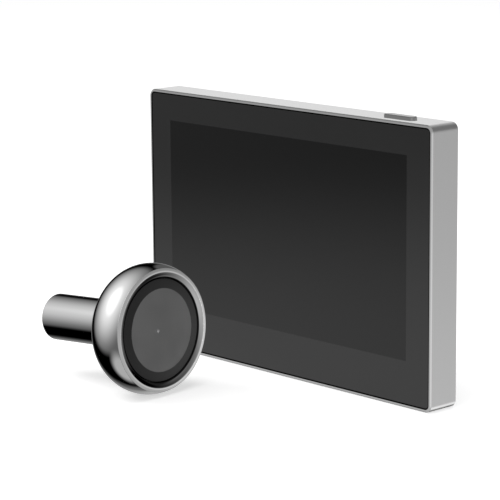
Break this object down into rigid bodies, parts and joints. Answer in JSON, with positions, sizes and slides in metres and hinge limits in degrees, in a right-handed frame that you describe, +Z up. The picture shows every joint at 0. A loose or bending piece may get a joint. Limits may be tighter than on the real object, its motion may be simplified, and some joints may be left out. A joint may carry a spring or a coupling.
{
  "type": "peephole door camera",
  "caption": "Two-unit peephole door camera: a flat indoor monitor with a metal frame and a top button, and a round chrome outdoor camera on a hollow tube.",
  "frame": {"origin": "middle of the monitor's bottom face, on the surface that both units stand on", "axes": "+X along the monitor's width to its right as seen from the front, +Y from the screen to the back, +Z up"},
  "size_m": [0.179, 0.1052, 0.1237],
  "materials": {
    "frame_metal": "fine satin anodised aluminium with a polished front chamfer",
    "screen_glass": "polished cover glass with a black printed border",
    "black_tape": "black adhesive tape",
    "panel_glass": "dark liquid crystal panel, switched off",
    "pressed_metal": "plain pressed or die-cast light metal",
    "screw_steel": "plated steel",
    "black_screw": "black plated steel",
    "circuit_board": "glass-epoxy board with green mask",
    "shield_metal": "tinned sheet steel",
    "chip_resin": "moulded black resin",
    "socket_plastic": "ivory moulded plastic",
    "white_plastic": "white moulded plastic",
    "battery_pouch": "laminated pouch cell",
    "black_plastic": "black moulded plastic",
    "black_rubber": "soft black rubber",
    "button_metal": "satin metal cap",
    "cover_plastic": "fine-grained dark grey moulding",
    "chrome": "polished chrome plating",
    "smoked_window": "smoked polished window",
    "lens_glass": "coated lens glass",
    "lamp_resin": "dark clear resin",
    "brass": "turned brass"
  },
  "bodies": {
    "monitor": {"frame": "frame_metal", "cover_glass": "screen_glass", "glass_tape": "black_tape", "lcd_panel": "panel_glass", "backlight_tray": "pressed_metal", "mid_plate": "pressed_metal", "plate_screws": "screw_steel", "main_board": "circuit_board", "board_screws": "screw_steel", "shield_can": "shield_metal", "wireless_module": "shield_metal", "memory_chips": "chip_resin", "cable_socket": "socket_plastic", "battery_socket": "socket_plastic", "charging_port": "shield_metal", "reset_switch": "chip_resin", "battery": "battery_pouch", "battery_tape": "white_plastic", "speaker": "black_plastic", "speaker_gasket": "black_rubber", "microphone": "shield_metal", "microphone_boot": "black_rubber", "switch_board": "circuit_board", "switch_board_screws": "screw_steel", "power_switch": "chip_resin", "rear_cover": "cover_plastic", "cover_screws": "black_screw"},
    "power_key": {"power_button": "button_metal", "switch_plunger": "white_plastic"},
    "reset_key": {"reset_plunger": "white_plastic"},
    "camera_unit": {"head_shell": "chrome", "bezel_ring": "chrome", "window": "smoked_window", "window_seal": "black_rubber", "lens_hood": "black_plastic", "lamp_board": "circuit_board", "infrared_lamps": "lamp_resin", "stack_spacers": "brass", "stack_screws": "screw_steel", "lens_barrel": "black_plastic", "front_lens": "lens_glass", "rear_lens": "lens_glass", "lens_retainer": "black_plastic", "lens_holder": "black_plastic", "image_sensor": "chip_resin", "sensor_board": "circuit_board", "sensor_socket": "socket_plastic", "back_plate": "pressed_metal", "door_seal": "black_rubber", "tube": "chrome", "cable_bush": "black_rubber"}
  },
  "joints": [
    {"name": "power_press", "type": "slide", "parent": "monitor", "child": "power_key", "axis": [0, 0, -1], "range_m": [0, 0.0006], "stiffness_N_per_m": 600},
    {"name": "reset_press", "type": "slide", "parent": "monitor", "child": "reset_key", "axis": [0, -1, 0], "range_m": [0, 0.0003], "stiffness_N_per_m": 800},
    {"name": "camera_lift", "type": "slide", "parent": "monitor", "child": "camera_unit", "axis": [0, 0, 1], "range_m": [0, 0.13]}
  ]
}
